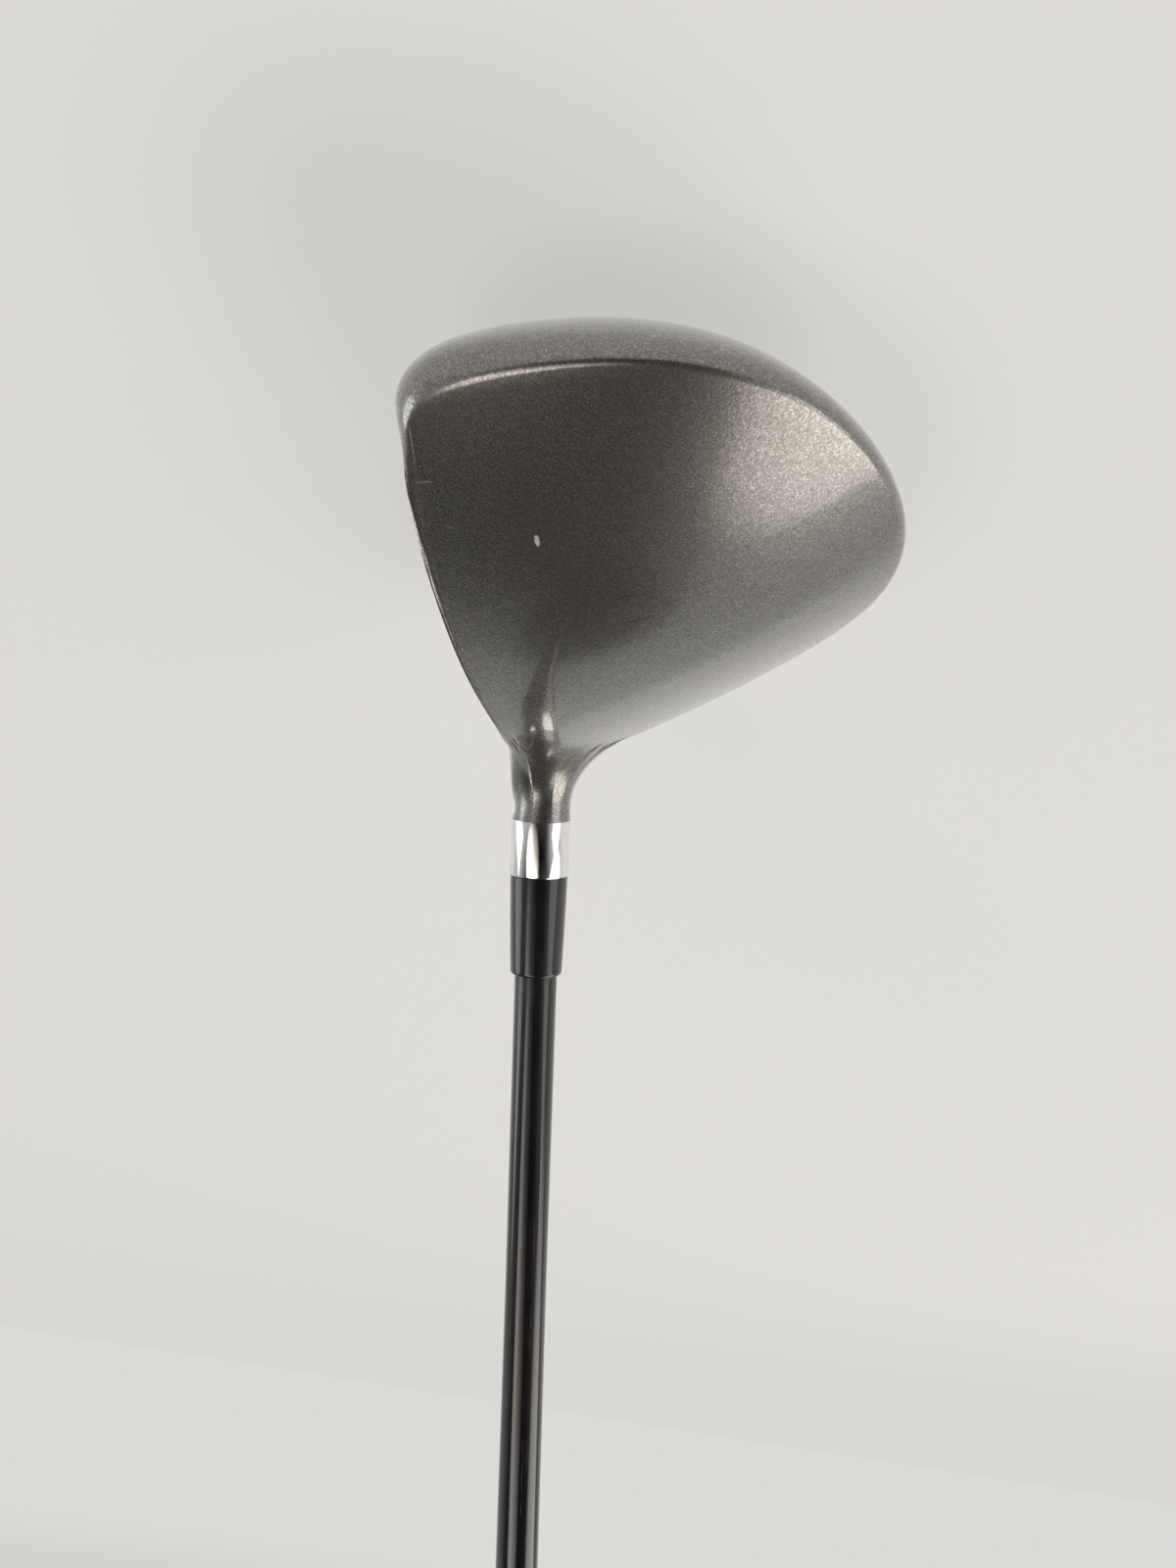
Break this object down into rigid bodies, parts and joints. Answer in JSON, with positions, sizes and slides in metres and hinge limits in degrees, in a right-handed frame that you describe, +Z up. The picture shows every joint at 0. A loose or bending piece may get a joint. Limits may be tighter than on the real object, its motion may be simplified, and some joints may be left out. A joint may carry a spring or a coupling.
{
  "type": "golf driver",
  "caption": "Right-handed golf driver with a hollow pear-shaped metal head, painted crown and neck, polished hosel end, black ferrule, graphite shaft and rubber grip.",
  "frame": {"origin": "centre of the flat pad in the middle of the sole, on its outer face, where the club stands at address", "axes": "+Z up with the club at address, face towards -Y, toe towards -X, shaft leaning up towards +X at its 57 degree lie"},
  "size_m": [0.7129, 0.0831, 0.9541],
  "materials": {
    "head_paint": "metallic flake under gloss clear coat",
    "face_metal": "satin",
    "score_paint": "matt",
    "sole_metal": "brushed",
    "medallion": "turned",
    "cast_metal": "as cast",
    "glue_soft": "soft",
    "hosel_polish": "mirror polished",
    "epoxy": "cured",
    "ferrule_black": "gloss",
    "shaft_paint": "gloss black paint on a graphite tube",
    "brass": "turned",
    "cork": "raw",
    "tape": "paper",
    "grip_rubber": "moulded"
  },
  "bodies": {
    "root": {"head_casting": "head_paint", "face_plate": "face_metal", "score_lines": "score_paint", "sole_plate": "sole_metal", "sole_medallion": "medallion", "rear_weight": "cast_metal", "sole_ribs": "cast_metal", "rattle_glue": "glue_soft", "hosel_tube": "hosel_polish", "bore_stop": "cast_metal", "shaft_glue": "epoxy", "ferrule": "ferrule_black", "shaft": "shaft_paint", "tip_plug": "brass", "tip_cork": "cork", "grip_tape": "tape", "grip_sleeve": "grip_rubber", "grip_cap": "grip_rubber"}
  },
  "joints": []
}
